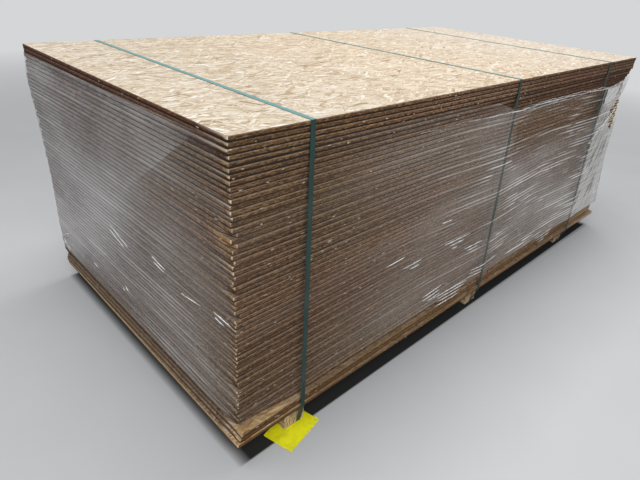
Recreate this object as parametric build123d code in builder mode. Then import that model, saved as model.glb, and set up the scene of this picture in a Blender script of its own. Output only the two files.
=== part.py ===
"""Strapped and film-wrapped stack of OSB boards on three bearers.

Millimetres. +X runs along the boards, +Y across them and +Z up. The origin lies on the floor,
under the middle of the whole footprint. The near corner is the one at -X and -Y.
"""
import os
from math import atan2, cos, degrees, radians, sin, tan

from build123d import *

# Boards
board_length = 2500.0
board_width = 1250.0
board_thickness = 14.1
board_gap = 0.2
board_count = 62
board_corner_chamfer = 2.0

# How the boards lie. A board's lie is the shift of its near corner along and across the
# stack, and the sideways swing of its far end. The pile leans and bellies a little.
lean_x = 11.0
lean_y = 9.0
belly_x = 10.5
belly_y = 8.0
jog_x = 2.8
jog_y = 2.4
jog_swing = 2.8
foot_lies = ((-2.0, -10.0, -17.0), (7.0, -7.0, 3.0), (12.0, -9.0, 6.0))

# The far ends swing back below the square top boards: how far at first and further down, and
# the depths, in boards below the top one, where that starts, peaks, settles and dies away
peak_swing = 21.0
settled_swing = 9.0
swing_depths = (3, 8, 20, 50, 59)

# Broken near corners: board, reach along its front edge, reach along its end
broken_corners = (
    (3, 190.0, 25.0),
    (3, 15.0, 150.0),
    (4, 90.0, 10.0),
    (4, 8.0, 110.0),
    (13, 10.0, 45.0),
    (29, 14.0, 60.0),
    (34, 10.0, 45.0),
    (43, 12.0, 40.0),
    (45, 14.0, 50.0),
)

# Boards that are kept in a set of their own at the top
square_top_boards = 4

# Bearers: bars of bonded board strips, each laid beside the line of its strap
bearer_width = 78.0
bearer_height = 75.0
bearer_inset = 6.0
bearer_offsets = (-16.0, -6.0, -4.0)
bearer_edge_chamfer = 2.0

# Straps, one round each bearer; the drift is how far the back run lies from square
strap_width = 15.5
strap_thickness = 0.9
strap_positions = (231.0, 1233.0, 2128.0)
strap_drifts = (22.0, -14.0, 29.0)
strap_clearance = 0.3
strap_slack = 0.1
strap_bed_depth = 2.1
strap_bed_clearance = 1.0

# Stretch film; its upper edge is given by distance from the near end and drop from the top
film_thickness = 0.3
film_clearance = 0.3
film_first_level = 5
film_sections = 7
film_upper_edge = (
    (0.0, 18.0),
    (566.0, 74.0),
    (1010.0, 100.0),
    (1280.0, 126.0),
    (1685.0, 134.0),
    (2500.0, 120.0),
)

# Delivery tag, lying on the floor with one side under the first bearer
tag_length = 148.0
tag_width = 105.0
tag_thickness = 0.4
tag_floor_gap = 0.2
tag_corner = (141.0, -70.0)
tag_turn = 13.5
tag_corner_radius = 4.0
tag_hole_diameter = 5.0
tag_hole_inset = 9.0
tag_bed_depth = 0.9
tag_bed_clearance = 1.0

# Derived sizes
pitch = board_thickness + board_gap
stack_base = bearer_height + board_gap
stack_top = stack_base + board_count * pitch - board_gap
near_x = -board_length / 2
near_y = -(board_width + peak_swing + jog_swing + tag_corner[1]) / 2
top_level = board_count - 1


def wander(level, phase):
    """A steady, never repeating value between -1 and 1 for each board."""
    return 0.6 * sin(2.4 * level + phase) + 0.4 * sin(4.1 * level + 2 * phase)


def ramp(value, start, end):
    """0 up to the start, 1 from the end on, and straight between them."""
    return min(1, max(0, (value - start) / (end - start)))


def board_lie(level):
    """Near corner (x, y) and turn in degrees of a board; level 0 is the lowest."""
    depth = top_level - level
    share = depth / top_level
    belly = 4 * share * (1 - share)
    start, peak, settled, fade, end = swing_depths
    rising = ramp(depth, start, peak)
    falling = ramp(depth, peak, settled)
    dying = ramp(depth, fade, end)
    shift_x = lean_x * share + belly_x * belly
    shift_y = lean_y * share + belly_y * belly
    swing = peak_swing * rising * (1 - falling) + settled_swing * falling * (1 - dying)
    if level < len(foot_lies):
        shift_x, shift_y, swing = foot_lies[level]
    else:
        shift_x += jog_x * wander(level, 0.4)
        shift_y += jog_y * wander(level, 2.1)
        swing += jog_swing * wander(level, 4.0)
    return near_x + shift_x, near_y + shift_y, degrees(atan2(swing, board_length))


def board_base(level):
    return stack_base + level * pitch


def board_edges_at(level, x):
    """The y of a board's front and back edges where they pass a given x."""
    corner_x, corner_y, turn = board_lie(level)
    front = corner_y + (x - corner_x) * tan(radians(turn))
    return front, front + board_width / cos(radians(turn))


def board_outline(level):
    """The four plan corners of a board."""
    x, y, turn = board_lie(level)
    along = (cos(radians(turn)), sin(radians(turn)))
    corners = []
    for a, b in ((0, 0), (board_length, 0), (board_length, board_width), (0, board_width)):
        corners.append((x + a * along[0] - b * along[1], y + a * along[1] + b * along[0]))
    return corners


def convex_hull(points):
    """Corner points of the tight loop round a set of points, anticlockwise."""
    points = sorted(set(points))

    def half(sequence):
        chain = []
        for p in sequence:
            while len(chain) > 1:
                (ax, ay), (bx, by) = chain[-2], chain[-1]
                if (bx - ax) * (p[1] - ay) - (by - ay) * (p[0] - ax) > 1e-6:
                    break
                chain.pop()
            chain.append(p)
        return chain[:-1]

    return half(points) + half(points[::-1])


def taut_loop(points, slack):
    """The tight loop, with corners that stand out less than the slack pulled straight."""
    loop = convex_hull(points)
    while len(loop) > 4:
        spare = []
        for k, b in enumerate(loop):
            a, c = loop[k - 1], loop[(k + 1) % len(loop)]
            run, rise = c[0] - a[0], c[1] - a[1]
            spare.append(abs(run * (b[1] - a[1]) - rise * (b[0] - a[0])) / (run**2 + rise**2) ** 0.5)
        if min(spare) > slack:
            break
        loop.pop(spare.index(min(spare)))
    return loop


def strap_plane(index):
    """The upright plane that holds a strap, and its turn from square in degrees."""
    turn = atan2(strap_drifts[index], board_width)
    plane = Plane(
        origin=(near_x + strap_positions[index], near_y, 0),
        x_dir=(sin(turn), cos(turn), 0),
        z_dir=(cos(turn), -sin(turn), 0),
    )
    return plane, degrees(turn)


def strap_loop(index):
    """The tight loop round the boards and the bearer, as (across, up) in the strap's plane."""
    plane, turn = strap_plane(index)
    slant = cos(radians(turn))
    front_x = near_x + strap_positions[index]
    points = [
        (bearer_inset / slant, strap_bed_depth),
        ((board_width - bearer_inset) / slant, strap_bed_depth),
    ]
    for level in range(board_count):
        front = board_edges_at(level, front_x)[0] - near_y
        back = board_edges_at(level, front_x + strap_drifts[index])[1] - near_y
        for z in (board_base(level), board_base(level) + board_thickness):
            points += [(front / slant, z), (back / slant, z)]
    return taut_loop(points, strap_slack)


def strap_edges(index, low, high):
    """Outer edges of a strap's front and back runs, at their furthest out between two heights."""
    plane, turn = strap_plane(index)
    loop = strap_loop(index)
    heights = [low, high] + [z for u, z in loop if low < z < high]
    across = []
    for z in heights:
        for (u0, z0), (u1, z1) in zip(loop, loop[1:] + loop[:1]):
            if min(z0, z1) <= z <= max(z0, z1) and z0 != z1:
                across.append(u0 + (u1 - u0) * (z - z0) / (z1 - z0))
    stand = strap_clearance + strap_thickness
    edges = []
    for u in (min(across) - stand, max(across) + stand):
        for side in (-strap_width / 2, strap_width / 2):
            point = plane.from_local_coords(Vector(u, 0, side))
            edges.append((point.X, point.Y))
    return edges


def film_section(low, high, stand):
    """Loop round every board and strap between two heights, standing off by a given amount."""
    levels = [k for k in range(board_count) if board_base(k) < high and board_base(k + 1) > low]
    outlines = [board_outline(k) for k in levels]
    loop = []
    for corner, (side_x, side_y) in enumerate(((-1, -1), (1, -1), (1, 1), (-1, 1))):
        x = side_x * (max(side_x * outline[corner][0] for outline in outlines) + stand)
        y = side_y * (max(side_y * outline[corner][1] for outline in outlines) + stand)
        loop.append((x, y))
        if corner == 0:
            for index in range(len(strap_positions)):
                loop += [(x, y - stand) for x, y in sorted(strap_edges(index, low, high)[:2])]
        if corner == 2:
            for index in reversed(range(len(strap_positions))):
                loop += [(x, y + stand) for x, y in sorted(strap_edges(index, low, high)[2:])[::-1]]
    return loop


os.makedirs("parts", exist_ok=True)


# Boards, each a sawn sheet with slightly worn corners, some with the near corner broken off
def build_boards(levels):
    with BuildPart() as boards:
        for level in levels:
            x, y, turn = board_lie(level)
            with BuildSketch(Plane.XY.offset(board_base(level))) as outline:
                with Locations(Location((x, y, 0), (0, 0, turn))):
                    Rectangle(board_length, board_width, align=(Align.MIN, Align.MIN))
                chamfer(outline.vertices(), board_corner_chamfer)
                with Locations(Location((x, y, 0), (0, 0, turn))):
                    for broken_level, front_reach, end_reach in broken_corners:
                        if broken_level == level:
                            Polygon((0, 0), (front_reach, 0), (0, end_reach), align=None,
                                    mode=Mode.SUBTRACT)
            extrude(amount=board_thickness)
    return boards


board_sets = {
    "cover_board": range(0, 1),
    "boards_bottom": range(1, film_first_level),
    "boards_lower": range(film_first_level, board_count // 3),
    "boards_middle": range(board_count // 3, 2 * board_count // 3),
    "boards_upper": range(2 * board_count // 3, board_count - square_top_boards),
    "boards_top": range(board_count - square_top_boards, board_count - 1),
    "top_board": range(board_count - 1, board_count),
}
for name, levels in board_sets.items():
    boards = build_boards(levels)
    boards.part.label = name
    export_step(boards.part, f"parts/{name}.step")


# Delivery tag
def tag_outline(margin):
    corner = (near_x + tag_corner[0], near_y + tag_corner[1])
    with Locations(Location((corner[0], corner[1], 0), (0, 0, tag_turn))):
        with Locations((tag_length / 2, tag_width / 2)):
            Rectangle(tag_length + 2 * margin, tag_width + 2 * margin)


with BuildPart() as tag:
    with BuildSketch(Plane.XY.offset(tag_floor_gap)) as tag_face:
        tag_outline(0)
        fillet(tag_face.vertices(), tag_corner_radius)
        with Locations(Location((near_x + tag_corner[0], near_y + tag_corner[1], 0), (0, 0, tag_turn))):
            with Locations((tag_length - tag_hole_inset, tag_hole_inset)):
                Circle(tag_hole_diameter / 2, mode=Mode.SUBTRACT)
    extrude(amount=tag_thickness)
tag.part.label = "tag"
export_step(tag.part, "parts/tag.step")


# Bearers, each pressed in where its strap and the tag run under it
bearer_names = ("bearer_near", "bearer_middle", "bearer_far")
for index, name in enumerate(bearer_names):
    plane, turn = strap_plane(index)
    floor = Plane(origin=plane.origin, x_dir=plane.z_dir, z_dir=(0, 0, 1))
    length = board_width - 2 * bearer_inset
    with BuildPart() as bearer:
        with BuildSketch(floor):
            with Locations((bearer_offsets[index], board_width / 2)):
                Rectangle(bearer_width, length)
        extrude(amount=bearer_height)
        long_edges = bearer.edges().filter_by(lambda edge: abs(edge.length - length) < bearer_inset)
        chamfer(long_edges, bearer_edge_chamfer)
        with BuildSketch(floor):
            with Locations((0, board_width / 2)):
                Rectangle(strap_width + 2 * strap_bed_clearance, board_width)
        extrude(amount=strap_bed_depth, mode=Mode.SUBTRACT)
        with BuildSketch(Plane.XY):
            tag_outline(tag_bed_clearance)
        extrude(amount=tag_bed_depth, mode=Mode.SUBTRACT)
    bearer.part.label = name
    export_step(bearer.part, f"parts/{name}.step")


# Straps, each a flat band drawn tight round the boards and its bearer
strap_names = ("strap_near", "strap_middle", "strap_far")
for index, name in enumerate(strap_names):
    plane, turn = strap_plane(index)
    loop = strap_loop(index)
    with BuildPart() as strap:
        with BuildSketch(plane):
            with BuildLine():
                Polyline(*loop, close=True)
            make_face()
            offset(amount=strap_clearance + strap_thickness)
        extrude(amount=strap_width / 2, both=True)
        with BuildSketch(plane):
            with BuildLine():
                Polyline(*loop, close=True)
            make_face()
            offset(amount=strap_clearance)
        extrude(amount=strap_width / 2, both=True, mode=Mode.SUBTRACT)
    strap.part.label = name
    export_step(strap.part, f"parts/{name}.step")


# Film, a skin drawn tight over the straps and the boards that reach out furthest
film_base = board_base(film_first_level)
film_span = (stack_top - film_base) / (film_sections - 1)


def film_loop(k, stand):
    """The loop of one of the film's sections, wide enough for all between its neighbours."""
    height = film_base + k * film_span
    return film_section(height - film_span, height + film_span, stand)


def film_body(stand):
    """The closed body inside the loops; between two loops its sides are folded into flat triangles."""
    loops = []
    for k in range(film_sections):
        loops.append([(x, y, film_base + k * film_span) for x, y in film_loop(k, stand)])
    folds = [loops[0], loops[-1]]
    for lower, upper in zip(loops, loops[1:]):
        for k in range(len(lower)):
            folds.append((lower[k - 1], lower[k], upper[k]))
            folds.append((lower[k - 1], upper[k], upper[k - 1]))
    return Solid(Shell([Face(Wire.make_polygon(fold)) for fold in folds]))


film_outside = film_body(film_clearance + film_thickness)
film_inside = film_body(film_clearance)
with BuildPart() as film:
    add(film_outside)
    add(film_inside, mode=Mode.SUBTRACT)
    with BuildSketch(Plane.XZ):
        with BuildLine():
            edge = [(near_x + reach, stack_top - drop) for reach, drop in film_upper_edge]
            beyond = board_length
            edge = [(edge[0][0] - beyond, edge[0][1])] + edge + [(edge[-1][0] + beyond, edge[-1][1])]
            Polyline(*edge, (edge[-1][0], stack_top + pitch), (edge[0][0], stack_top + pitch), close=True)
        make_face()
    extrude(amount=board_width, both=True, mode=Mode.SUBTRACT)
film.part.label = "film"
export_step(film.part, "parts/film.step")
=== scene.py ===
import math

import bmesh
import bpy
import numpy as np
from mathutils import Matrix, Vector


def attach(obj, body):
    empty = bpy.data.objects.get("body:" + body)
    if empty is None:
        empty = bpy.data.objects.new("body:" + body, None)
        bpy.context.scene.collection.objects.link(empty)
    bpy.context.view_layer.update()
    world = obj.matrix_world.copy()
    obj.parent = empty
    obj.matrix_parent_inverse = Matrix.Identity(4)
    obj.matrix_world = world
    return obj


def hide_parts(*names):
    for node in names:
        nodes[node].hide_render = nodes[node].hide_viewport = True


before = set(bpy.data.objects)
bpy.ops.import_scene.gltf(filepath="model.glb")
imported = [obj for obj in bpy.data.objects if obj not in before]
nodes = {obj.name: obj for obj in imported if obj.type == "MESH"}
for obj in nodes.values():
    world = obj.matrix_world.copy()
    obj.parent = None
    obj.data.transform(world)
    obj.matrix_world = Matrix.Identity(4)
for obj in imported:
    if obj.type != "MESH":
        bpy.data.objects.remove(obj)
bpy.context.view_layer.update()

# Sizes, in metres, as the frame has them
BOARD_LENGTH, BOARD_WIDTH = 2.5, 1.25
BOARD_THICKNESS, BOARD_GAP, PITCH, COUNT = 0.0141, 0.0002, 0.0143, 62
STACK_BASE = 0.0752
STACK_TOP = STACK_BASE + COUNT * PITCH - BOARD_GAP
NEAR_X, NEAR_Y = -1.25, -0.6019
TOP_LEVEL = COUNT - 1
STRAPS = ((0.231, 0.022), (1.233, -0.014), (2.128, 0.029))   # distance from the near end, drift
STRAP_HALF, STRAP_STAND = 0.00775, 0.0012       # half its width, and its outer face off the boards
BEARER_INSET, STRAP_FOOT = 0.006, 0.002         # where a strap turns under its bearer: inset, height
FILM_FIRST = 5                                  # boards below the film's lower edge

# How the boards lie, in metres and in boards below the top one
LEAN_X, LEAN_Y = 0.011, 0.009
BELLY_X, BELLY_Y = 0.0105, 0.008
JOG_X, JOG_Y, JOG_SWING = 0.0028, 0.0024, 0.0028
PEAK_SWING, SETTLED_SWING = 0.021, 0.009
SWING_STARTS, SWING_PEAKS, SWING_SETTLES, SWING_FADES, SWING_ENDS = 3, 8, 20, 50, 59

# The lowest boards: shift along and across the stack, and swing of the far end
FOOT = ((-0.002, -0.010, -0.017), (0.007, -0.007, 0.003), (0.012, -0.009, 0.006))


def ramp(value, start, end):
    """0 up to the start, 1 from the end on, and straight between them."""
    return min(1.0, max(0.0, (value - start) / (end - start)))


def wander(level, phase):
    """A steady, never repeating value between -1 and 1 for each board."""
    return 0.6 * math.sin(2.4 * level + phase) + 0.4 * math.sin(4.1 * level + 2 * phase)


def board_lie(level):
    """Near corner (x, y) and slope of a board, as the frame's boards lie."""
    if level < len(FOOT):
        shift_x, shift_y, swing = FOOT[level]
        return NEAR_X + shift_x, NEAR_Y + shift_y, swing / BOARD_LENGTH
    depth = TOP_LEVEL - level
    share = depth / TOP_LEVEL
    belly = 4 * share * (1 - share)
    falling = ramp(depth, SWING_PEAKS, SWING_SETTLES)
    swing = (PEAK_SWING * ramp(depth, SWING_STARTS, SWING_PEAKS) * (1 - falling)
             + SETTLED_SWING * falling * (1 - ramp(depth, SWING_FADES, SWING_ENDS)))
    swing += JOG_SWING * wander(level, 4.0)
    shift_x = LEAN_X * share + BELLY_X * belly + JOG_X * wander(level, 0.4)
    shift_y = LEAN_Y * share + BELLY_Y * belly + JOG_Y * wander(level, 2.1)
    return NEAR_X + shift_x, NEAR_Y + shift_y, swing / BOARD_LENGTH


LIE = np.array([board_lie(k) for k in range(COUNT)])
BASES = STACK_BASE + np.arange(COUNT) * PITCH


# Materials
PALE = (0.66, 0.67, 0.68, 1)
SIDE_ON, FACE_ON = 0.6, 0.5     # sides and faces face along their axis at least this much
CORNER_ON = 0.9                 # and the cut corners of the boards less than this, along x and y


class Tree:
    """The nodes of a material or a world, and a short way to write them."""

    def __init__(self, owner, output="OutputMaterial"):
        owner.use_nodes = True
        self.owner = owner
        self.nodes = owner.node_tree.nodes
        self.nodes.clear()
        self.links = owner.node_tree.links
        self.output = self.nodes.new("ShaderNode" + output)

    def put(self, socket, value):
        if isinstance(value, bpy.types.NodeSocket):
            self.links.new(value, socket)
        else:
            socket.default_value = value

    def add(self, kind, inputs=(), **settings):
        node = self.nodes.new("ShaderNode" + kind)
        for key, value in settings.items():
            setattr(node, key, value)
        for key, value in dict(inputs).items():
            self.put(node.inputs[key], value)
        return node

    def math(self, operation, a, b=0.0, clamp=False):
        node = self.add("Math", {0: a, 1: b}, operation=operation, use_clamp=clamp)
        return node.outputs[0]

    def times(self, product, *others):
        """Several values multiplied."""
        for value in others:
            product = self.math("MULTIPLY", product, value)
        return product

    def plus(self, total, *others):
        """Several values added."""
        for value in others:
            total = self.math("ADD", total, value)
        return total

    def minus(self, a, b):
        return self.math("SUBTRACT", a, b)

    def less(self, a, b):
        return self.math("LESS_THAN", a, b)

    def more(self, a, b):
        return self.math("GREATER_THAN", a, b)

    def span(self, value, low, high, to_low=0.0, to_high=1.0):
        node = self.add("MapRange", {0: value, 1: low, 2: high, 3: to_low, 4: to_high})
        return node.outputs[0]

    def within(self, value, low, high, soft):
        """0 outside two values and 1 between them, with a soft width just inside each."""
        return self.times(self.span(value, low, low + soft), self.span(value, high, high - soft))

    def vector(self, operation, a, b=(0, 0, 0), out=0):
        return self.add("VectorMath", {0: a, 1: b}, operation=operation).outputs[out]

    def join(self, x=0.0, y=0.0, z=0.0):
        return self.add("CombineXYZ", {0: x, 1: y, 2: z}).outputs[0]

    def mix(self, share, a, b, way="MIX"):
        node = self.add("Mix", {0: share, 6: a, 7: b}, data_type="RGBA", blend_type=way)
        return node.outputs[2]

    def stain(self, share, a, b):
        """Colour a, with some share of colour b multiplied into it."""
        return self.mix(share, a, b, "MULTIPLY")

    def blend(self, share, a, b):
        node = self.add("Mix", {0: share, 2: a, 3: b}, data_type="FLOAT")
        return node.outputs[0]

    def curve(self, value, *stops):
        node = self.add("ValToRGB", {0: value})
        ends = node.color_ramp.elements
        while len(ends) < len(stops):
            ends.new(0.5)
        for element, (place, colour) in zip(ends, stops):
            element.position = place
            element.color = (*colour, 1)
        return node.outputs[0]

    def noise(self, vector, scale, detail, rough):
        return self.add("TexNoise", {"Vector": vector, "Scale": scale, "Detail": detail,
                                     "Roughness": rough}).outputs[0]

    def grain(self, vector, scales, detail, rough):
        """Noise with a scale of its own along each axis."""
        return self.noise(self.vector("MULTIPLY", vector, scales), 1.0, detail, rough)

    def cells(self, vector, **settings):
        """Random values, the same all over each cell of a pattern."""
        pattern = self.add("TexVoronoi", {"Vector": vector, "Scale": 1.0}, **settings)
        return self.add("SeparateColor", {0: pattern.outputs["Color"]}).outputs

    def white(self, vector):
        return self.add("TexWhiteNoise", {"Vector": vector}).outputs["Value"]

    def spot(self):
        return self.add("TexCoord").outputs["Object"]

    def split(self, vector):
        return self.add("SeparateXYZ", {0: vector}).outputs

    def facing(self):
        """How far the surface faces along x, y and z, either way."""
        normal = self.split(self.add("NewGeometry").outputs["True Normal"])
        return [self.math("ABSOLUTE", part) for part in normal]

    def rows(self, z):
        """The board at a height, and how far up its pitch the height lies, from 0 to 1."""
        rise = self.math("DIVIDE", self.minus(z, STACK_BASE), PITCH)
        return self.math("FLOOR", rise), self.math("FRACT", rise)

    def seen(self):
        """1 for what the camera, reflections and clear things see, 0 for what lights the object."""
        path = self.add("LightPath").outputs
        mirrored = self.math("MAXIMUM", path["Is Camera Ray"], path["Is Glossy Ray"])
        return self.math("MAXIMUM", mirrored, path["Is Transmission Ray"])

    def bump(self, height, strength, distance):
        return self.add("Bump", {"Height": height, "Strength": strength,
                                 "Distance": distance}).outputs[0]

    def surface(self, **values):
        """Ends the material in a plain shader, and returns the material."""
        node = self.add("BsdfPrincipled")
        for key, value in values.items():
            self.put(node.inputs[key.replace("_", " ")], value)
        self.links.new(node.outputs[0], self.output.inputs["Surface"])
        return self.owner


def new_material(name):
    return Tree(bpy.data.materials.new(name))


# Strands on the boards' faces: size of one in metres, and the turn of each layer in radians
STRAND_LENGTH, STRAND_WIDTH = 0.058, 0.0095
STRAND_TURNS = (0.05, -0.24, 0.38, -0.62, 1.15, 0.16)
STRAND_WAVER = 0.005


def strand_layers(t, flat):
    """Overlapping wood strands: returns their tone, their grain and the dark line round each."""
    tone = grain = line = rank = None
    for index, turn in enumerate(STRAND_TURNS):
        spot = t.add("Mapping", {"Vector": flat, "Location": (0.37 * index + 5, 0.91 * index + 3, 0),
                                 "Rotation": (0, 0, turn)}).outputs[0]
        # edges that waver a little, so that no strand is a clean tile
        waver = t.times(t.noise(spot, 30.0, 1.0, 0.5), STRAND_WAVER)
        cell = t.vector("MULTIPLY", t.vector("ADD", spot, t.join(y=waver)),
                        (1 / STRAND_LENGTH, 1 / STRAND_WIDTH, 0))
        here_rank, here_tone, _ = t.cells(cell, voronoi_dimensions="2D")
        rim = t.add("TexVoronoi", {"Vector": cell, "Scale": 1.0}, voronoi_dimensions="2D",
                    feature="DISTANCE_TO_EDGE").outputs["Distance"]
        fibre = t.grain(spot, (12.0, 380.0, 0), 2.0, 0.6)
        here_line = t.span(rim, 0.02, 0.17, 1.0, 0.0)
        if rank is None:
            tone, grain, line, rank = here_tone, fibre, here_line, here_rank
        else:
            over = t.more(here_rank, rank)
            tone = t.blend(over, tone, here_tone)
            grain = t.blend(over, grain, fibre)
            line = t.blend(over, line, here_line)
            rank = t.math("MAXIMUM", rank, here_rank)
    return tone, grain, line


# Colours of the boards' faces
FACE_TONES = ((0.0, (0.330, 0.225, 0.125)), (0.07, (0.500, 0.385, 0.250)),
              (0.30, (0.640, 0.535, 0.395)), (0.62, (0.715, 0.620, 0.480)),
              (0.88, (0.790, 0.715, 0.590)), (1.0, (0.880, 0.835, 0.750)))
FIBRE = (0.80, 0.71, 0.62, 1)
STRAND_RIM = (0.46, 0.34, 0.24, 1)
SOILED = (0.90, 0.84, 0.78, 1)
# painted sheen on the faces: less at the near end, more at the far end
NEAR_DIMMED = (0.89, 0.92, 0.96, 1)
FAR_SHEEN = (0.90, 0.90, 0.88, 1)
# dirt and painted shade on the ledges
LEDGE_DIRT_AND_SHADE = (0.44, 0.36, 0.29, 1)
FOOT_LEDGE = (0.92, 0.72, 0.47, 1)
TOP_SKIN = 0.004                # what lies this far below the top isn't the bare top face
FOOT_TOP = STACK_BASE + 3.2 * PITCH             # just above the third board


def board_face(t, x, y, z):
    """Colour and relief of the faces: bright on the top board, soiled on the ledges below it."""
    flat = t.join(x, y)
    tone, grain, line = strand_layers(t, flat)
    colour = t.curve(tone, *FACE_TONES)
    colour = t.stain(t.span(grain, 0.42, 0.68, 0.0, 0.75), colour, FIBRE)
    colour = t.stain(t.times(line, 0.62), colour, STRAND_RIM)
    colour = t.stain(t.span(t.noise(flat, 2.3, 3.0, 0.6), 0.35, 0.75, 0.0, 0.30), colour, SOILED)
    # painted sheen: a little darker at the near end, and paler at the far end
    colour = t.stain(t.span(x, -0.2, -1.0), colour, NEAR_DIMMED)
    colour = t.mix(t.span(x, 0.1, 1.0, 0.0, 0.16), colour, FAR_SHEEN)
    # the ledges are darkened by dirt and painted shade, but not those of the lowest boards at the near
    # corner
    ledge = t.less(z, STACK_TOP - TOP_SKIN)
    bright_corner = t.times(t.less(z, FOOT_TOP), t.span(x, -0.98, -1.10),
                            t.span(y, NEAR_Y + 0.09, NEAR_Y + 0.03))
    colour = t.stain(t.times(ledge, t.minus(1.0, bright_corner)), colour, LEDGE_DIRT_AND_SHADE)
    colour = t.stain(t.times(ledge, bright_corner), colour, FOOT_LEDGE)
    relief = t.minus(t.plus(t.times(tone, 0.6), t.times(grain, 0.3)), line)
    return colour, relief


# Colours of the boards' edges
EDGE_TONES = ((0.18, (0.052, 0.026, 0.013)), (0.42, (0.170, 0.098, 0.054)),
              (0.60, (0.270, 0.165, 0.098)), (0.80, (0.520, 0.370, 0.240)))
RED_TO_OLIVE = ((0.36, (1.0, 0.86, 0.82)), (0.64, (0.92, 0.93, 0.80)))
DARK_ROW = (0.62, 0.54, 0.48, 1)
EDGE_STAIN = (0.66, 0.60, 0.55, 1)
BARE_RED = (0.74, 0.46, 0.44, 1)
ORANGE_BROWN = (0.25, 0.125, 0.036, 1)
SPLINTERED = (0.66, 0.45, 0.24, 1)
PALE_GOLD = (0.82, 0.58, 0.33, 1)
DEEP_GOLD = (0.66, 0.36, 0.10, 1)
FOOT_GREY = (0.20, 0.165, 0.145, 1)
DULL = (0.72, 0.65, 0.53, 1)
GAP_DARK = (0.016, 0.009, 0.005, 1)
ARRIS = (0.60, 0.44, 0.30, 1)
GLINT = (0.86, 0.78, 0.62, 1)
# pale worn wood with a painted glint, on the boards' corners and tips
WORN_CORNER_GLINT = (0.90, 0.76, 0.56, 1)
WORN_TIP_GLINT = (0.90, 0.76, 0.58, 1)
SCUFFED = (0.92, 0.82, 0.66, 1)
SPLIT_WOOD = (0.74, 0.44, 0.17, 1)
TORN_GOLD = (0.94, 0.71, 0.40, 1)
BARE_FROM_LONG, BARE_FROM_END = 52.5, 57.5      # boards above these show without film


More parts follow.
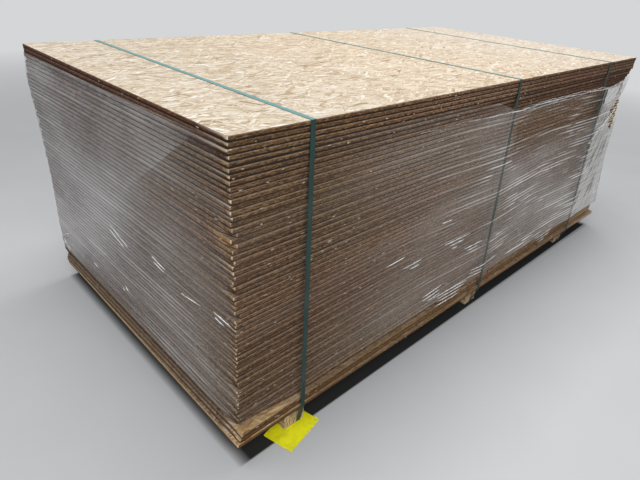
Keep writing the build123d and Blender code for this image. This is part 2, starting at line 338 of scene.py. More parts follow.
def board_edge(t, x, y, z, facing):
    """Colour and relief of the sawn edges: thin layers, with dark gaps between the boards."""
    on_end = t.more(facing[0], SIDE_ON)
    on_long = t.minus(1.0, on_end)
    level, up = t.rows(z)
    up = t.math("DIVIDE", up, BOARD_THICKNESS / PITCH)
    along = t.blend(on_end, x, y)
    side = t.join(along, z, t.times(on_end, 3.0))
    row = t.join(level, t.times(on_end, 7.0))
    chip = t.cells(t.vector("MULTIPLY", side, (120.0, 430.0, 1.0)))[0]
    grit = t.blend(0.5, t.grain(side, (105.0, 340.0, 1.0), 3.0, 0.75), chip)
    torn = t.noise(t.join(t.times(along, 45.0), level, on_end), 1.0, 3.0, 0.75)
    soil = t.grain(side, (2.2, 9.0, 1.0), 3.0, 0.6)
    colour = t.curve(grit, *EDGE_TONES)
    colour = t.stain(t.span(t.white(row), 0.0, 1.0, 0.0, 0.45), colour, DARK_ROW)
    colour = t.stain(t.span(soil, 0.35, 0.7, 0.0, 0.40), colour, EDGE_STAIN)
    # patches that lean to red and to olive, and red brown boards above the film
    hue = t.grain(side, (1.3, 3.4, 1.0), 2.0, 0.5)
    colour = t.stain(1.0, colour, t.curve(hue, *RED_TO_OLIVE))
    bare = t.more(level, t.blend(on_end, BARE_FROM_LONG, BARE_FROM_END))
    red = t.times(bare, t.blend(on_end, t.times(t.span(x, -0.3, 0.5), 0.6), 1.0))
    colour = t.stain(red, colour, BARE_RED)
    # the lowest boards are orange brown on the long sides, and worn pale towards the far end
    fresh = t.times(t.span(level, 0.5, 3.5, 1.0, 0.0), on_long)
    colour = t.mix(t.times(fresh, 0.50), colour, ORANGE_BROWN)
    worn_foot = t.times(t.span(level, 4.5, 1.5), t.span(x, 0.85, 1.12, 0.0, 0.9))
    colour = t.mix(worn_foot, colour, SPLINTERED)
    # on the ends the lowest board is pale, those above it are grey, and one place is golden
    pale = t.times(t.less(level, 0.5), on_end, t.span(torn, 0.3, 0.6, 0.25, 0.95))
    colour = t.mix(pale, colour, PALE_GOLD)
    gold = t.times(t.within(z, 0.675, 0.735, 0.015), on_end,
                   t.span(y, NEAR_Y + 0.12, NEAR_Y + 0.05), t.span(torn, 0.38, 0.55, 0.0, 0.9))
    colour = t.mix(gold, colour, DEEP_GOLD)
    grey = t.times(on_end, t.span(level, 0.4, 0.9), t.span(level, 5.0, 4.0), 0.45)
    colour = t.mix(grey, colour, FOOT_GREY)
    # the long sides are duller towards the near end
    colour = t.stain(t.times(on_long, t.span(x, -0.45, -0.95)), colour, DULL)
    # the lower arris lies in the shade of the gap, the upper one is fuzzy and catches light
    depth = t.white(t.vector("ADD", row, (3.0, 5.0, 0.0)))
    open_rows = t.span(level, 49.0, 56.0)
    deep = t.blend(open_rows, t.span(depth, 0.0, 1.0, 0.14, 0.32), t.span(depth, 0.0, 1.0, 0.24, 0.44))
    hold = t.grain(side, (3.0, 90.0, 1.0), 2.0, 0.6)
    strength = t.blend(open_rows, t.span(hold, 0.35, 0.65, 0.72, 0.96), 0.96)
    shade = t.plus(t.blend(fresh, deep, 0.18), t.times(t.minus(torn, 0.5), 0.5))
    dark = t.span(t.minus(up, shade), -0.02, 0.05, 1.0, 0.0)
    colour = t.mix(t.times(dark, strength), colour, GAP_DARK)
    bright = t.times(t.span(up, 0.72, 0.90), t.span(torn, 0.35, 0.65, 0.2, 1.0), 0.60)
    colour = t.mix(bright, colour, ARRIS)
    colour = t.mix(t.times(t.more(chip, 0.996), 0.65), colour, GLINT)
    # worn corners show pale wood and a painted glint, some boards more than others
    corner = t.times(t.less(facing[0], CORNER_ON), t.less(facing[1], CORNER_ON))
    worn = t.math("POWER", t.white(t.vector("ADD", row, (9.0, 1.0, 0.0))), 1.6)
    colour = t.mix(t.times(corner, worn, t.span(up, 0.35, 0.6)), colour, WORN_CORNER_GLINT)
    tip = t.times(on_end, t.span(y, NEAR_Y + 0.016, NEAR_Y + 0.009))
    colour = t.mix(t.times(tip, worn, t.span(up, 0.4, 0.6)), colour, WORN_TIP_GLINT)
    # some boards are scuffed pale along the arris near the corner, and some are split there
    hook = t.math("POWER", t.white(t.vector("ADD", row, (2.0, 7.0, 0.0))), 5.0)
    scuff = t.times(on_end, hook, t.span(y, NEAR_Y + 0.12, NEAR_Y + 0.01), t.span(up, 0.55, 0.75))
    colour = t.mix(scuff, colour, SCUFFED)
    split = t.times(on_end, t.span(y, NEAR_Y + 0.055, NEAR_Y + 0.015), t.span(torn, 0.48, 0.60),
                    t.span(up, 0.45, 0.6), 0.6)
    colour = t.mix(split, colour, SPLIT_WOOD)
    # torn golden ends of the boards, at the heights where the film is open
    far_end = t.times(t.span(x, 1.15, 1.19), t.within(z, 0.54, 0.80, 0.04), t.span(up, 0.3, 0.45), 0.85)
    colour = t.mix(far_end, colour, TORN_GOLD)
    return colour, t.minus(grit, dark)


def board_material():
    """Strand board: strands on its faces, thin layers on its edges."""
    t = new_material("osb")
    x, y, z = t.split(t.spot())
    facing = t.facing()
    on_face = t.more(facing[2], FACE_ON)
    face_colour, face_relief = board_face(t, x, y, z)
    edge_colour, edge_relief = board_edge(t, x, y, z, facing)
    relief = t.blend(on_face, edge_relief, face_relief)
    return t.surface(Base_Color=t.mix(on_face, edge_colour, face_colour),
                     Roughness=t.blend(on_face, 0.85, 0.5), Specular_IOR_Level=0.25,
                     Normal=t.bump(relief, 0.35, 0.0006))


# Colours of the straps, the bearers and the tag
STRAP_DARK, STRAP_WORN = (0.011, 0.036, 0.033, 1), (0.024, 0.062, 0.056, 1)
# the flat runs' colour is dust and painted sheen
STRAP_CREST, STRAP_DUST_AND_SHEEN = (0.045, 0.11, 0.10, 1), (0.150, 0.330, 0.325, 1)
DIAMOND_WAVES = 1900.0          # radians a metre
BEARER_TONES = ((0.2, (0.22, 0.14, 0.08)), (0.45, (0.48, 0.35, 0.22)),
                (0.65, (0.66, 0.51, 0.34)), (0.9, (0.80, 0.66, 0.47)))
GLUE_LINE, BEARER_SHADE = (0.35, 0.26, 0.18, 1), (0.7, 0.62, 0.55, 1)
STRIP_HALF, GLUE_WIDTH = 0.0072, 0.0006
TAG_CLEAN, TAG_SOILED = (0.94, 0.92, 0.010, 1), (0.78, 0.74, 0.02, 1)


def strap_material():
    """Green strapping with rows of small pressed diamonds."""
    t = new_material("strap_green")
    spot = t.spot()
    x, y, z = t.split(spot)
    flat_run = t.more(t.facing()[2], FACE_ON)
    along = t.blend(flat_run, z, y)
    diamonds = t.times(t.math("SINE", t.times(t.plus(along, x), DIAMOND_WAVES)),
                       t.math("SINE", t.times(t.minus(along, x), DIAMOND_WAVES)))
    dirt = t.grain(spot, (60.0, 14.0, 14.0), 3.0, 0.6)
    colour = t.mix(t.span(dirt, 0.3, 0.75), STRAP_DARK, STRAP_WORN)
    colour = t.mix(t.span(diamonds, 0.2, 0.9, 0.0, 0.25), colour, STRAP_CREST)
    # the flat runs are paler with dust and a painted sheen of the light from above
    colour = t.mix(t.times(flat_run, 0.72), colour, STRAP_DUST_AND_SHEEN)
    return t.surface(Base_Color=colour, Roughness=t.span(dirt, 0.3, 0.7, 0.42, 0.6),
                     Specular_IOR_Level=0.25, Normal=t.bump(diamonds, 0.4, 0.0002))


def bearer_material():
    """Strips of strand board on edge, bonded side by side."""
    t = new_material("bearer_strips")
    spot = t.spot()
    on_end = t.more(t.facing()[1], SIDE_ON)
    layers = t.grain(spot, (620.0, 16.0, 45.0), 2.0, 0.6)
    chip = t.cells(t.vector("MULTIPLY", spot, (400.0, 25.0, 90.0)))[0]
    relief = t.blend(0.5, layers, chip)
    joint = t.math("PINGPONG", t.split(spot)[0], STRIP_HALF)
    colour = t.curve(relief, *BEARER_TONES)
    colour = t.stain(t.span(joint, GLUE_WIDTH, 0.0, 0.0, 0.6), colour, GLUE_LINE)
    # the sides are darker than the ends: painted shade
    colour = t.stain(t.blend(on_end, 0.45, 0.0), colour, BEARER_SHADE)
    return t.surface(Base_Color=colour, Roughness=0.85, Specular_IOR_Level=0.25,
                     Normal=t.bump(relief, 0.4, 0.0008))


def tag_material():
    """Bare yellow card, soiled and creased."""
    t = new_material("tag_yellow")
    spot = t.spot()
    soil = t.noise(spot, 45.0, 4.0, 0.65)
    crease = t.grain(spot, (90.0, 40.0, 90.0), 3.0, 0.6)
    return t.surface(Base_Color=t.mix(t.span(soil, 0.42, 0.72), TAG_CLEAN, TAG_SOILED), Roughness=0.42,
                     Specular_IOR_Level=0.5, Normal=t.bump(crease, 0.25, 0.0008))


# Colours of the film
FILM_GREY, FILM_COOL = (0.66, 0.610, 0.570, 1), (0.61, 0.575, 0.58, 1)
FILM_DENSE, FILM_WHITE = (0.68, 0.66, 0.63, 1), (0.97, 0.97, 0.96, 1)
# the folds' white is a painted highlight
BUNCHED_WHITE, FOLD_HIGHLIGHT = (0.88, 0.89, 0.86, 1), (1.0, 1.0, 0.98, 1)


def end_haze(t, y, z):
    """Haze of the film on the ends, with more layers from slanting edges on."""
    # a slanting edge is where y plus or minus some share of z stays the same
    first = t.times(t.span(t.plus(y, t.times(z, 1.496)), 0.917, 0.925),
                    t.span(y, -0.50, -0.36, 0.0, 0.8))
    second = t.span(t.plus(y, t.times(z, 0.566)), 0.10, 0.42)
    third = t.span(t.plus(y, t.times(z, 1.414)), 0.50, 0.86)
    fourth = t.span(t.minus(y, t.times(z, 0.9)), -0.43, -0.422)
    layer = t.times(t.math("MAXIMUM", first, second), third)
    low = t.times(t.span(z, 0.70, 0.35), t.span(y, -0.59, -0.25, 0.25, 1.0))
    return t.plus(t.span(y, -0.58, -0.30, 0.06, 0.22), t.times(layer, 0.30), t.times(low, 0.21),
                  t.times(fourth, 0.04))


def long_haze(t, x, z, dense):
    """Haze on the long sides: little near the first strap, a clear window above between the others."""
    window = t.times(t.span(x, -0.02, 0.04), t.span(x, 1.0, 0.9), t.span(z, 0.60, 0.72))
    veil = t.times(t.span(x, -1.02, 0.30, 0.03, 0.40), t.minus(1.0, t.times(window, 0.85)),
                   t.span(z, 0.845, 0.852, 1.0, 0.5))
    low = t.times(t.span(x, 0.1, 0.9), t.span(z, 0.60, 0.30, 0.0, 0.18))
    sheet = t.span(t.minus(t.times(x, 0.43), z), -0.21, -0.19)
    return t.plus(veil, low, t.times(dense, t.blend(sheet, 0.32, 0.54)))


def film_highlight_threads(t, x, z, side, along, on_end):
    """Painted highlights: bright threads along the upper part of each board's edge, and short flashes.

    Returns both, and how far up its pitch a place lies.
    """
    level, up = t.rows(z)
    crest = t.times(t.span(up, 0.54, 0.66), t.span(up, 1.0, 0.95))
    lie = t.join(t.times(along, 1.9), t.times(level, 7.31), t.times(on_end, 9.0))
    run = t.span(t.noise(lie, 1.0, 2.0, 0.6), 0.50, 0.62)
    share = t.blend(on_end, t.span(x, -0.85, 0.45), t.span(z, 0.15, 0.5, 0.45, 0.22))
    highlight_thread = t.times(crest, run, share, 0.50)
    short = t.span(t.grain(lie, (1.9, 1.7, 1.0), 1.0, 0.5), 0.575, 0.625)
    cluster = t.span(t.grain(side, (1.7, 6.0, 1.0), 2.0, 0.55), 0.49, 0.56)
    place = t.blend(on_end, t.times(t.span(x, -0.6, 0.2, 0.0, 0.7), t.span(z, 0.84, 0.74)), 0.0)
    return highlight_thread, t.times(crest, short, cluster, place), up


def film_material():
    """Clear stretch film in layers: haze that varies, and painted highlights as pale threads along the
    boards.
    """
    t = new_material("film_clear")
    x, y, z = t.split(t.spot())
    on_end = t.more(t.facing()[0], SIDE_ON)
    along = t.blend(on_end, x, y)
    side = t.join(along, z, t.times(on_end, 5.0))
    dense = t.times(t.span(x, 0.898, 0.908), t.minus(1.0, on_end))
    haze = t.grain(side, (1.6, 2.6, 1.0), 3.0, 0.55)
    fine = t.grain(side, (28.0, 420.0, 1.0), 2.0, 0.65)
    alpha = t.times(t.blend(on_end, long_haze(t, x, z, dense), end_haze(t, y, z)),
                    t.span(haze, 0.3, 0.7, 0.50, 1.50), t.span(fine, 0.3, 0.7, 0.65, 1.35))
    # pressed on a strap or on a front corner, the film is clear
    for reach, _ in STRAPS:
        away = t.math("ABSOLUTE", t.minus(x, NEAR_X + reach))
        pressed = t.span(away, STRAP_HALF, STRAP_HALF + 0.004, 0.25, 1.0)
        alpha = t.times(alpha, t.blend(on_end, pressed, 1.0))
    off_corner = t.span(y, NEAR_Y + 0.012, NEAR_Y + 0.05)
    alpha = t.times(alpha, t.blend(on_end, 1.0, t.blend(off_corner, 0.2, 1.0)))
    # it is clearer along the foot of each board, and the dense sheet at the far end is wrinkled
    highlight_thread, flash, up = film_highlight_threads(t, x, z, side, along, on_end)
    alpha = t.times(alpha, t.blend(dense, t.span(up, 0.12, 0.30, 0.36, 1.12), 1.0))
    slant = t.plus(t.times(along, 34.0), t.times(z, -16.0))
    wrinkle = t.noise(t.join(slant, t.times(z, 5.0)), 1.0, 3.0, 0.6)
    alpha = t.times(alpha, t.blend(dense, 1.0, t.span(wrinkle, 0.38, 0.62, 0.45, 1.45)))
    # slanting bands where one turn of the wrap lies over the next
    turn = t.math("FRACT", t.times(t.minus(z, t.times(along, 0.10)), 3.7))
    band = t.times(t.less(turn, 0.22), t.blend(on_end, t.span(x, -0.9, 0.2, 0.02, 0.07), 0.05))
    # the threads and flashes are painted highlights, more opaque and white
    lines = t.plus(highlight_thread, t.times(flash, 0.95))
    alpha = t.math("ADD", t.plus(alpha, band), lines, clamp=True)
    white = t.math("MAXIMUM", t.times(flash, 1.5), t.times(highlight_thread, 1.6), clamp=True)
    colour = t.mix(t.times(on_end, t.span(y, -0.45, 0.1)), FILM_GREY, FILM_COOL)
    colour = t.mix(white, t.mix(dense, colour, FILM_DENSE), FILM_WHITE)
    # the painted highlights also turn the normal partly upwards, as folds would
    ripple = t.bump(t.grain(side, (7.0, 70.0, 1.0), 3.0, 0.6), 0.35, 0.003)
    normal = t.vector("ADD", ripple, t.join(z=t.times(white, 1.1)))
    return t.surface(Base_Color=colour, Roughness=0.2, Specular_IOR_Level=0.5, Alpha=alpha,
                     Normal=t.vector("NORMALIZE", normal))


def rolled_material():
    """The rolled edges of the film: lumpy, see-through in places, facing upwards."""
    t = new_material("film_rolled")
    spot = t.spot()
    lump = t.grain(spot, (14.0, 14.0, 420.0), 3.0, 0.65)
    alpha = t.math("MULTIPLY", t.span(lump, 0.42, 0.56, 0.25, 1.2),
                   t.span(t.split(spot)[0], -0.35, 0.15, 0.25, 1.0), clamp=True)
    upward = t.vector("ADD", t.bump(lump, 0.8, 0.003), (0.0, 0.0, 0.9))
    return t.surface(Base_Color=FILM_WHITE, Roughness=0.18, Specular_IOR_Level=0.5, Alpha=alpha,
                     Normal=t.vector("NORMALIZE", upward))


def patch_material():
    """Bunched film, nearly opaque, with soft slanting folds."""
    t = new_material("film_bunched")
    turned = t.add("Mapping", {"Vector": t.spot(), "Rotation": (0, 0, 0.5)}).outputs[0]
    fold = t.grain(turned, (60.0, 9.0, 9.0), 3.0, 0.6)
    return t.surface(Base_Color=BUNCHED_WHITE, Roughness=0.25, Specular_IOR_Level=0.5,
                     Alpha=t.span(fold, 0.35, 0.65, 0.80, 1.0), Normal=t.bump(fold, 0.6, 0.003))


def fold_material():
    """Folds of film, white as a painted highlight, which face upwards."""
    t = new_material("film_folds")
    broken = t.grain(t.spot(), (40.0, 40.0, 12.0), 2.0, 0.5)
    upward = t.vector("ADD", t.add("NewGeometry").outputs["Normal"], (0.0, 0.0, 1.3))
    return t.surface(Base_Color=FOLD_HIGHLIGHT, Roughness=0.15, Specular_IOR_Level=0.5,
                     Alpha=t.span(broken, 0.34, 0.48, 0.60, 1.0),
                     Normal=t.vector("NORMALIZE", upward))


# Colours of the floor, and how far from its middle the painted shadow under the stack starts and is
# full
FLOOR_DARKER, FLOOR_LIGHTER = (0.50, 0.51, 0.52, 1), (0.54, 0.55, 0.56, 1)
FLOOR_PAINTED_SHADOW, FLOOR_BOUNCE = (0.032, 0.033, 0.032, 1), (0.30, 0.30, 0.30, 1)
SHADOW_X, SHADOW_Y, SHADOW_MIDDLE_Y = (1.252, 1.208), (0.636, 0.630), 0.020
HORIZON = (2.6, 6.5)            # from here to there the floor turns into the plain background


def floor_material():
    """Pale matt floor; far off, what the camera and reflections see of it is plain pale grey."""
    t = new_material("floor_pale")
    spot = t.spot()
    x, y, _ = t.split(spot)
    seen = t.seen()
    lit = t.mix(t.noise(spot, 3.0, 3.0, 0.5), FLOOR_DARKER, FLOOR_LIGHTER)
    # painted shadow: the floor is dark under the stack
    under = t.times(t.span(t.math("ABSOLUTE", x), *SHADOW_X),
                    t.span(t.math("ABSOLUTE", t.minus(y, SHADOW_MIDDLE_Y)), *SHADOW_Y))
    lit = t.mix(under, lit, FLOOR_PAINTED_SHADOW)
    matt = t.add("BsdfDiffuse", {"Color": t.mix(seen, FLOOR_BOUNCE, lit)})
    plain = t.add("Emission", {"Color": PALE, "Strength": 1.0})
    away = t.span(t.vector("LENGTH", spot, out="Value"), *HORIZON)
    mixed = t.add("MixShader", {0: t.times(away, seen), 1: matt.outputs[0], 2: plain.outputs[0]})
    t.links.new(mixed.outputs[0], t.output.inputs["Surface"])
    return t.owner


FOLDED, ROLLED = fold_material(), rolled_material()


def dress(names, material):
    for name in names:
        slots = nodes[name].data.materials
        slots.clear()
        slots.append(material)


dress(("cover_board", "boards_bottom", "boards_lower", "boards_middle", "boards_upper",
       "boards_top", "top_board"), board_material())
dress(("bearer_near", "bearer_middle", "bearer_far"), bearer_material())
dress(("strap_near", "strap_middle", "strap_far"), strap_material())


def place_piece(name, mesh, material):
    """Puts a mesh with its material in the scene as a piece."""
    mesh.materials.append(material)
    piece = bpy.data.objects.new(name, mesh)
    bpy.context.scene.collection.objects.link(piece)
    return piece


def add_mesh(name, points, faces, material):
    mesh = bpy.data.meshes.new(name)
    mesh.from_pydata([tuple(p) for p in points], [], [tuple(int(v) for v in f) for f in faces])
    mesh.polygons.foreach_set("use_smooth", [True] * len(mesh.polygons))
    mesh.update()
    return place_piece(name, mesh, material)


def film_piece(name, points, faces, material):
    """A piece of film that rides on the stack."""
    piece = add_mesh(name, points, faces, material)
    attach(piece, "root")
    return piece


# Stretch film
CLEAR = 0.0004                  # film stands this far off the boards
SAG = 0.10                      # how steeply taut film falls away from a board that stands out
TENT = 0.05                     # and from a strap
SAME_PLACE = 1e-6               # points nearer than this are one point


def outermost(x, y, z, side):
    """How far out the film lies at points of a side: front and back give y, near and far end x."""
    x, y, z = (np.asarray(v, float)[..., None] for v in (x, y, z))
    corner_x, corner_y, slope = LIE.T
    above = np.maximum(np.maximum(BASES - z, z - BASES - BOARD_THICKNESS), 0) * SAG
    if side == "front":
        return (corner_y + (x - corner_x) * slope + above).min(-1) - CLEAR
    if side == "back":
        return (corner_y + (x - corner_x) * slope + BOARD_WIDTH - above).max(-1) + CLEAR
    if side == "near":
        return (corner_x - (y - corner_y) * slope + above).min(-1) - CLEAR
    return (corner_x - (y - corner_y) * slope + BOARD_LENGTH - above).max(-1) + CLEAR


def strap_line(index, back):
    """Heights and y of the taut line of a strap down the front or the back."""
    reach, drift = STRAPS[index]
    x = NEAR_X + reach + (drift if back else 0.0)
    sign = -1.0 if back else 1.0
    points = [(STRAP_FOOT, sign * (NEAR_Y + (BOARD_WIDTH - BEARER_INSET if back else BEARER_INSET)))]
    for k in range(COUNT):
        y = LIE[k, 1] + (x - LIE[k, 0]) * LIE[k, 2] + (BOARD_WIDTH if back else 0.0)
        points += [(BASES[k], sign * y), (BASES[k] + BOARD_THICKNESS, sign * y)]
    line = []
    for p in points:                            # the lower hull of (z, y) is the outer line
        while len(line) > 1 and ((line[-1][0] - line[-2][0]) * (p[1] - line[-2][1])
                                 <= (line[-1][1] - line[-2][1]) * (p[0] - line[-2][0])):
            line.pop()
        line.append(p)
    line = np.array(line)
    return x, line[:, 0], sign * line[:, 1]


def over_straps(x, z, y, back):
    """The film's y at points of the front or back, lifted where it runs over a strap."""
    for index in range(len(STRAPS)):
        at, heights, line = strap_line(index, back)
        away = np.maximum(np.abs(x - at) - STRAP_HALF, 0) * TENT
        rest = STRAP_STAND + CLEAR
        out = np.interp(z, heights, line)
        y = np.maximum(y, out + rest - away) if back else np.minimum(y, out - rest + away)
    return y


def front_of(x, z):
    """The y of the film's front at a point."""
    x, z = np.asarray(x, float), np.asarray(z, float)
    return over_straps(x, z, outermost(x, 0 * x, z, "front"), False)


# The film's upper edge: along the front and back by x, on the ends from front to back
FRONT_TOP = ((-1.25, -0.95, -0.71, -0.32, -0.13, 0.00, 0.20, 0.62, 0.98, 1.14, 1.26),
             (0.943, 0.916, 0.902, 0.901, 0.891, 0.850, 0.845, 0.838, 0.836, 0.846, 0.872))
BACK_TOP = ((-1.25, -0.5, 0.3, 1.26), (0.929, 0.900, 0.846, 0.852))
NEAR_TOP, FAR_TOP = (0.943, 0.929), (0.872, 0.852)
CORNERS = ((-1, -1), (1, -1), (1, 1), (-1, 1))
SIDES = (("front", 190), ("far", 90), ("back", 150), ("near", 110))     # name, columns of the mesh

# Where the film is torn away: as (x, z) on both long sides, and round the front corner from some x on
TORN = ((1.09, 0.700), (1.26, 0.790), (1.26, 0.640), (1.18, 0.580), (1.12, 0.640))
TORN_CORNER_X, TORN_END_WIDTH, TORN_LOW, TORN_HIGH = 1.235, 0.05, 0.640, 0.790
RAGS = ((0.012, 190, 0), (0.008, 410, 1))       # size, waves and phase of the torn edge


def film_top(side, x, y):
    """Height of the film's upper edge at a place."""
    if side == "front":
        return np.interp(x, *FRONT_TOP)
    if side == "back":
        return np.interp(x, *BACK_TOP)
    return np.interp(y, (NEAR_Y, NEAR_Y + BOARD_WIDTH), NEAR_TOP if side == "near" else FAR_TOP)


def film_corner(z, end, flank):
    """Where the film turns a corner: -1 or 1 for the near or far end, and for the front or back."""
    x = NEAR_X if end < 0 else NEAR_X + BOARD_LENGTH
    y = NEAR_Y if flank < 0 else NEAR_Y + BOARD_WIDTH
    # each depends a little on the other, so they settle in a few rounds
    for _ in range(3):
        x = outermost(x, y, z, "near" if end < 0 else "far")
        y = outermost(x, y, z, "front" if flank < 0 else "back")
    return x, y


def inside(x, z, outline):
    """Whether a point lies within an outline of corner points."""
    hits = False
    for (x0, z0), (x1, z1) in zip(outline, outline[1:] + outline[:1]):
        if (z0 > z) != (z1 > z) and x < x0 + (x1 - x0) * (z - z0) / (z1 - z0):
            hits = not hits
    return hits


def is_torn(x, y, z):
    """Whether the film is torn away there, near the far end."""
    ragged = sum(size * math.sin(waves * z + phase) for size, waves, phase in RAGS)
    if x < TORN_CORNER_X:
        return inside(x + ragged, z, TORN)
    return y < NEAR_Y + TORN_END_WIDTH + ragged and TORN_LOW < z < TORN_HIGH


def film_shape():
    """Points and faces of the wrap, a column of points at a time round the stack."""
    rows = STACK_BASE + FILM_FIRST * PITCH + np.arange(2 * (COUNT - FILM_FIRST) + 1) * PITCH / 2
    turns = [film_corner(rows, end, flank) for end, flank in CORNERS]
    columns, tops = [], []
    for number, (side, count) in enumerate(SIDES):
        (x0, y0), (x1, y1) = turns[number], turns[(number + 1) % len(turns)]
        for k in range(count):
            x, y = x0 + (x1 - x0) * (k / count), y0 + (y1 - y0) * (k / count)
            top = float(film_top(side, x.mean(), y.mean()))
            z = np.minimum(rows, top)
            if side in ("front", "back"):
                y = over_straps(x, z, outermost(x, y, z, side), side == "back")
            else:
                x = outermost(x, y, z, side)
            columns.append(np.stack([x, y, z], 1))
            tops.append(top)
    faces = []
    high = len(rows)
    for i in range(len(columns)):
        j = (i + 1) % len(columns)
        for k in range(high - 1):
            if rows[k] < max(tops[i], tops[j]) - SAME_PLACE and not is_torn(*columns[i][k]):
                faces.append((i * high + k, j * high + k, j * high + k + 1, i * high + k + 1))
    return np.concatenate(columns), faces


def drop_loose(piece):
    """Joins points that lie together and drops what is left over."""
    work = bmesh.new()
    work.from_mesh(piece.data)
    bmesh.ops.remove_doubles(work, verts=work.verts, dist=SAME_PLACE)
    loose = [v for v in work.verts if not v.link_faces]
    bmesh.ops.delete(work, geom=loose, context="VERTS")
    work.to_mesh(piece.data)
    work.free()
    piece.data.update()


film = add_mesh("film_skin", *film_shape(), film_material())
drop_loose(film)
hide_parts("film")
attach(film, "root")


# Rolled edges and folds of the film
ROPE_TWIST, ROPE_LUMPS, ROPE_HEIGHT = 0.15, 0.35, 1.5


def rope_shape(spine, radii, around, noise):
    """Points and faces of a lumpy tube along a line of points."""
    spine = np.array(spine)
    ahead = np.gradient(spine, axis=0)
    ahead /= np.linalg.norm(ahead, axis=1)[:, None]
    side = np.cross(ahead, (0, 0, 1.0))
    side /= np.linalg.norm(side, axis=1)[:, None]
    upward = np.cross(side, ahead)
    points, faces = [], []
    for i, p in enumerate(spine):
        for k in range(around):
            angle = 2 * math.pi * k / around + ROPE_TWIST * i
            radius = radii[i] * (1 + ROPE_LUMPS * noise.standard_normal())
            across, rise = math.cos(angle), ROPE_HEIGHT * math.sin(angle)
            points.append(p + radius * (across * side[i] + rise * upward[i]))
    last = (len(spine) - 1) * around
    for first in range(0, last, around):
        for k in range(around):
            m = (k + 1) % around
            faces.append((first + k, first + m, first + around + m, first + around + k))
    faces.append(tuple(range(around))[::-1])
    faces.append(tuple(last + k for k in range(around)))
    return points, faces


ROPE_STEP, ROPE_SIDES = 0.008, 10
ROPE_GROWS, ROPE_SHRINKS, ROPE_TAPER = 0.3, 0.1, (0.35, 1, 1, 0.4)
ROPE_WAVES = ((0.0010, 23), (0.0008, 61))       # height, waves
ROLL_LINE = ((-0.60, -0.53, -0.175, 0.03, 0.226, 0.62, 0.98, 1.14),
             (0.854, 0.853, 0.849, 0.845, 0.844, 0.840, 0.836, 0.828))
TWIST_LINE = ((0.86, 1.19), (0.570, 0.712))

# Rolls along the front: name, start and end, heights by x, lift, radius, seed, material
ROPES = (("film_rolled_edge", -0.58, 1.14, ROLL_LINE, 0.0, 0.0015, 3, ROLLED),
         ("film_rolled_edge_upper", 0.06, 0.92, ROLL_LINE, 0.008, 0.0008, 7, ROLLED),
         ("film_rolled_edge_lower", 0.02, 0.66, ROLL_LINE, -0.010, 0.0008, 12, ROLLED),
         ("film_twist", 0.86, 1.19, TWIST_LINE, 0.0, 0.0030, 5, FOLDED))

# Folds of film, white as painted highlights: side, start and end along it, height at each, how many lie
# side by side
FOLDS = (("front", -0.370, -0.305, 0.492, 0.492, 1), ("front", -0.331, -0.168, 0.393, 0.394, 2),
         ("front", -0.281, -0.241, 0.362, 0.362, 1), ("front", -0.190, -0.067, 0.331, 0.332, 2),
         ("front", -0.659, -0.550, 0.422, 0.422, 1), ("front", -0.557, -0.459, 0.374, 0.380, 2),
         ("front", -0.431, -0.310, 0.207, 0.214, 3), ("front", -0.356, -0.133, 0.175, 0.166, 4),
         ("front", -0.114, 0.006, 0.205, 0.198, 3), ("front", 0.080, 0.221, 0.518, 0.519, 1),
         ("front", 0.400, 0.577, 0.525, 0.532, 2), ("front", 0.495, 0.675, 0.148, 0.152, 3),
         ("front", 0.735, 0.998, 0.258, 0.241, 2), ("front", 0.860, 0.916, 0.570, 0.565, 2),
         ("near", 0.038, 0.062, 0.244, 0.262, 2), ("near", -0.246, -0.163, 0.469, 0.481, 2),
         ("near", -0.429, -0.326, 0.447, 0.433, 1), ("near", -0.570, -0.488, 0.462, 0.465, 2),
         ("near", 0.000, 0.126, 0.434, 0.465, 2), ("near", 0.286, 0.336, 0.216, 0.219, 1),
         ("near", 0.560, 0.640, 0.245, 0.205, 2), ("near", 0.585, 0.640, 0.160, 0.190, 2),
         ("front", 0.050, 0.120, 0.847, 0.846, 1), ("front", 0.226, 0.400, 0.846, 0.843, 1),
         ("front", 0.450, 0.600, 0.843, 0.841, 1), ("front", 0.690, 0.800, 0.840, 0.839, 1),
         ("front", 0.860, 0.960, 0.838, 0.837, 1), ("front", 1.100, 1.190, 0.672, 0.708, 3),
         ("front", 1.120, 1.200, 0.560, 0.580, 2))
FOLD_RADIUS, FOLD_STEP, FOLD_SIDES, FOLD_SEED = 0.0012, 0.006, 6, 21
FOLD_TAPER = ((0, 0.2, 0.8, 1), (0.3, 1, 1, 0.3))
FOLD_SHIFT, FOLD_SHARE = (-0.02, 0.04), (0.4, 1.0)      # of the folds that lie beside the first one


def front_rope(name, start, end, line, lift, radius, seed, material):
    """A thin roll of film along the front, at heights read off a line plus a lift."""
    x = np.arange(start, end, ROPE_STEP)
    z = np.interp(x, *line) + lift
    for height, waves in ROPE_WAVES:
        z += height * np.sin(x * waves + seed)
    full = (start, start + ROPE_GROWS, end - ROPE_SHRINKS, end)
    radii = radius * np.interp(x, full, ROPE_TAPER)
    spine = np.stack([x, front_of(x, z) - radii, z], 1)
    shape = rope_shape(spine, radii, ROPE_SIDES, np.random.default_rng(seed))
    return film_piece(name, *shape, material)


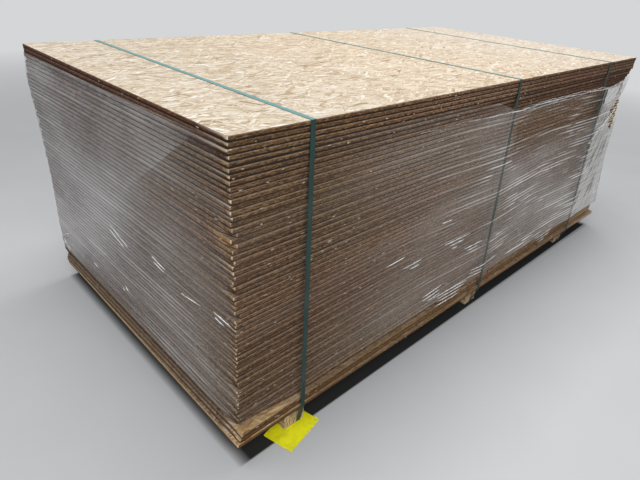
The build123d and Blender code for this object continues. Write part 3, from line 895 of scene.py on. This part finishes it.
def fold_shapes():
    """All the bright folds as the points and faces of one mesh."""
    noise = np.random.default_rng(FOLD_SEED)
    points, faces = [], []
    for side, start, end, low, high, count in FOLDS:
        for line in range(count):
            shift = noise.uniform(*FOLD_SHIFT) if line else 0.0
            stretch = noise.uniform(*FOLD_SHARE) if line else 1.0
            along = np.arange(start, start + (end - start) * stretch, FOLD_STEP)
            z = np.interp(along, (start, end), (low, high)) - line * PITCH
            along = along + shift
            share = np.linspace(0, 1, len(along))
            radii = FOLD_RADIUS * np.interp(share, *FOLD_TAPER)
            if side == "front":
                spine = np.stack([along, front_of(along, z) - radii, z], 1)
            else:
                spine = np.stack([outermost(0 * along, along, z, "near") - 0.5 * radii, along, z], 1)
            more_points, more_faces = rope_shape(spine, radii, FOLD_SIDES, noise)
            faces += [tuple(v + len(points) for v in face) for face in more_faces]
            points += more_points
    return points, faces


# The loose patch over the front: corners as (x, z), mesh steps, least stand-off and wave
PATCH = ((0.934, 0.832), (1.142, 0.828), (1.090, 0.766), (0.922, 0.754))
PATCH_STEPS = (26, 16)
PATCH_STAND, PATCH_WAVE = 0.0022, 0.004


def patch_shape():
    """Points and faces of the loose patch of bunched film."""
    (x0, z0), (x1, z1), (x2, z2), (x3, z3) = PATCH
    m, n = PATCH_STEPS
    points, faces = [], []
    for a in range(m + 1):
        for b in range(n + 1):
            u, v = a / m, b / n
            x = (1 - v) * (x0 + (x1 - x0) * u) + v * (x3 + (x2 - x3) * u)
            z = (1 - v) * (z0 + (z1 - z0) * u) + v * (z3 + (z2 - z3) * u)
            wave = (1 + math.sin(9 * u + 5 * v) * math.sin(6 * v + 2 * u)) / 2
            points.append((x, float(front_of(x, z)) - PATCH_STAND - PATCH_WAVE * wave, z))
    for a in range(m):
        for b in range(n):
            k = a * (n + 1) + b
            faces.append((k, k + n + 1, k + n + 2, k + 1))
    return points, faces


film_pieces = [front_rope(*rope) for rope in ROPES]
film_pieces.append(film_piece("film_folds", *fold_shapes(), FOLDED))
film_pieces.append(film_piece("film_patch", *patch_shape(), patch_material()))

# Tag on the floor: its curls and creases fade out over TAG_COVERED, towards the side under the bearer
TAG_LENGTH, TAG_WIDTH, TAG_TURN = 0.148, 0.105, math.radians(13.5)
TAG_CORNER = (NEAR_X + 0.141, NEAR_Y - 0.070)
TAG_RADIUS, HOLE_RADIUS, HOLE_INSET = 0.004, 0.0025, 0.009
TAG_STEP, TAG_THICKNESS, TAG_MIDDLE, TAG_COVERED = 0.006, 0.0003, 0.0004, 0.05
CORNER_POINTS, HOLE_POINTS, MOST_SPLITS = 6, 20, 6
CURL_HEIGHT, CURL_WIDTH, CURL_WAVES = 0.0022, 0.030, 34
CREASES = ((0.0007, -0.55, 0.045, 0.012), (0.0005, 0.30, 0.118, 0.009))  # height, slope, place, width


def tag_loops():
    """The card's rounded outline and its punched hole, as points."""
    left, right, low, high = TAG_RADIUS, TAG_LENGTH - TAG_RADIUS, TAG_RADIUS, TAG_WIDTH - TAG_RADIUS
    rim, hole = [], []
    for u, v, first in ((right, low, -90), (right, high, 0), (left, high, 90), (left, low, 180)):
        for k in range(CORNER_POINTS):
            a = math.radians(first + 90 * k / (CORNER_POINTS - 1))
            rim.append((u + TAG_RADIUS * math.cos(a), v + TAG_RADIUS * math.sin(a)))
    for k in range(HOLE_POINTS):
        a = 2 * math.pi * k / HOLE_POINTS
        hole.append((TAG_LENGTH - HOLE_INSET + HOLE_RADIUS * math.cos(a),
                     HOLE_INSET + HOLE_RADIUS * math.sin(a)))
    return rim, hole


def tag_height(a, b):
    """How high the card stands there: it curls and is creased, but lies flat under the bearer."""
    height = CURL_HEIGHT * max(0.0, 1 - b / CURL_WIDTH) ** 2 * (0.5 + 0.5 * math.cos(a * CURL_WAVES))
    for crest, slope, place, width in CREASES:
        height += crest * max(0.0, 1 - abs(a + slope * b - place) / width)
    return TAG_MIDDLE + ramp(TAG_WIDTH - b, 0, TAG_COVERED) * height


def tag_mesh():
    """A thin card that has been trodden on: rounded corners, a punched hole, low curls and creases."""
    work = bmesh.new()
    edges = []
    for loop in tag_loops():
        ring = [work.verts.new((u, v, 0)) for u, v in loop]
        edges += [work.edges.new((a, b)) for a, b in zip(ring, ring[1:] + ring[:1])]
    bmesh.ops.triangle_fill(work, use_beauty=True, use_dissolve=False, edges=edges)
    for _ in range(MOST_SPLITS):
        long_ones = [e for e in work.edges if e.calc_length() > TAG_STEP]
        if not long_ones:
            break
        bmesh.ops.subdivide_edges(work, edges=long_ones, cuts=1)
        bmesh.ops.triangulate(work, faces=[f for f in work.faces if len(f.verts) > 3])
    bmesh.ops.recalc_face_normals(work, faces=work.faces)
    if sum(f.normal.z for f in work.faces) < 0:
        bmesh.ops.reverse_faces(work, faces=work.faces)
    cos, sin = math.cos(TAG_TURN), math.sin(TAG_TURN)
    for v in work.verts:
        a, b, _ = v.co
        v.co = (TAG_CORNER[0] + a * cos - b * sin, TAG_CORNER[1] + a * sin + b * cos, tag_height(a, b))
    mesh = bpy.data.meshes.new("tag_card")
    work.to_mesh(mesh)
    work.free()
    return mesh


card = place_piece("tag_card", tag_mesh(), tag_material())
thick = card.modifiers.new("thickness", "SOLIDIFY")
thick.thickness = TAG_THICKNESS
thick.offset = 0
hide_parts("tag")
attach(card, "root")

# Floor and light
FLOOR_REACH = 30.0
floor = add_mesh("floor", [(a * FLOOR_REACH, b * FLOOR_REACH, 0) for a, b in CORNERS], [(0, 1, 2, 3)],
                 floor_material())


def area_light(name, place, target, size, power):
    light = bpy.data.lights.new(name, "AREA")
    light.shape = "RECTANGLE"
    light.size, light.size_y = size
    light.energy = power
    lamp = bpy.data.objects.new(name, light)
    lamp.location = place
    aim = Vector(target) - Vector(place)
    lamp.rotation_mode = "QUATERNION"
    lamp.rotation_quaternion = aim.to_track_quat("-Z", "Y")
    bpy.context.scene.collection.objects.link(lamp)


area_light("overhead", place=(0.3, 0.35, 4.8), target=(0.3, 0.35, 0.0), size=(7.0, 2.6), power=240)
area_light("front_fill", place=(-2.4, -3.3, 3.4), target=(-0.3, -0.3, 0.4), size=(4.2, 1.6), power=125)

SKY, SKY_STRENGTH = (0.93, 0.96, 1.0, 1), 0.20
world = bpy.data.worlds.new("studio")
bpy.context.scene.world = world
studio = Tree(world, "OutputWorld")
sky = studio.add("Background", {0: SKY, 1: SKY_STRENGTH})
backdrop = studio.add("Background", {0: PALE, 1: 1.0})
chosen = studio.add("MixShader", {0: studio.seen(), 1: sky.outputs[0], 2: backdrop.outputs[0]})
studio.links.new(chosen.outputs[0], studio.output.inputs[0])

# Camera, solved on the photograph's 640 x 480 frame: FOCAL and CENTRE in pixels, angles in radians
FRAME_WIDTH, FRAME_HEIGHT, SENSOR, VIEW_DEPTH = 640, 480, 36.0, 200.0
FOCAL, CENTRE = 505.7206, (338.144, 223.852)
AZIMUTH, PITCH_DOWN, ROLL = 0.818032, 0.4689253, 0.0767792
EYE = (-1.7906, -1.42689, 1.27300)
camera = bpy.data.cameras.new("camera")
camera.sensor_width = SENSOR
camera.lens = FOCAL / FRAME_WIDTH * SENSOR
camera.shift_x = (FRAME_WIDTH / 2 - CENTRE[0]) / FRAME_WIDTH
camera.shift_y = (CENTRE[1] - FRAME_HEIGHT / 2) / FRAME_WIDTH
camera.clip_end = VIEW_DEPTH
eye = bpy.data.objects.new("camera", camera)
bpy.context.scene.collection.objects.link(eye)
bpy.context.scene.camera = eye
ahead = Vector((math.sin(AZIMUTH) * math.cos(PITCH_DOWN), math.cos(AZIMUTH) * math.cos(PITCH_DOWN),
                -math.sin(PITCH_DOWN)))
level_right = ahead.cross(Vector((0, 0, 1))).normalized()
level_up = level_right.cross(ahead)
right = level_right * math.cos(ROLL) + level_up * math.sin(ROLL)
up = level_up * math.cos(ROLL) - level_right * math.sin(ROLL)
turn = Matrix((right, up, -ahead)).transposed().to_4x4()
eye.matrix_world = Matrix.Translation(EYE) @ turn

bpy.context.scene.view_settings.view_transform = "Standard"
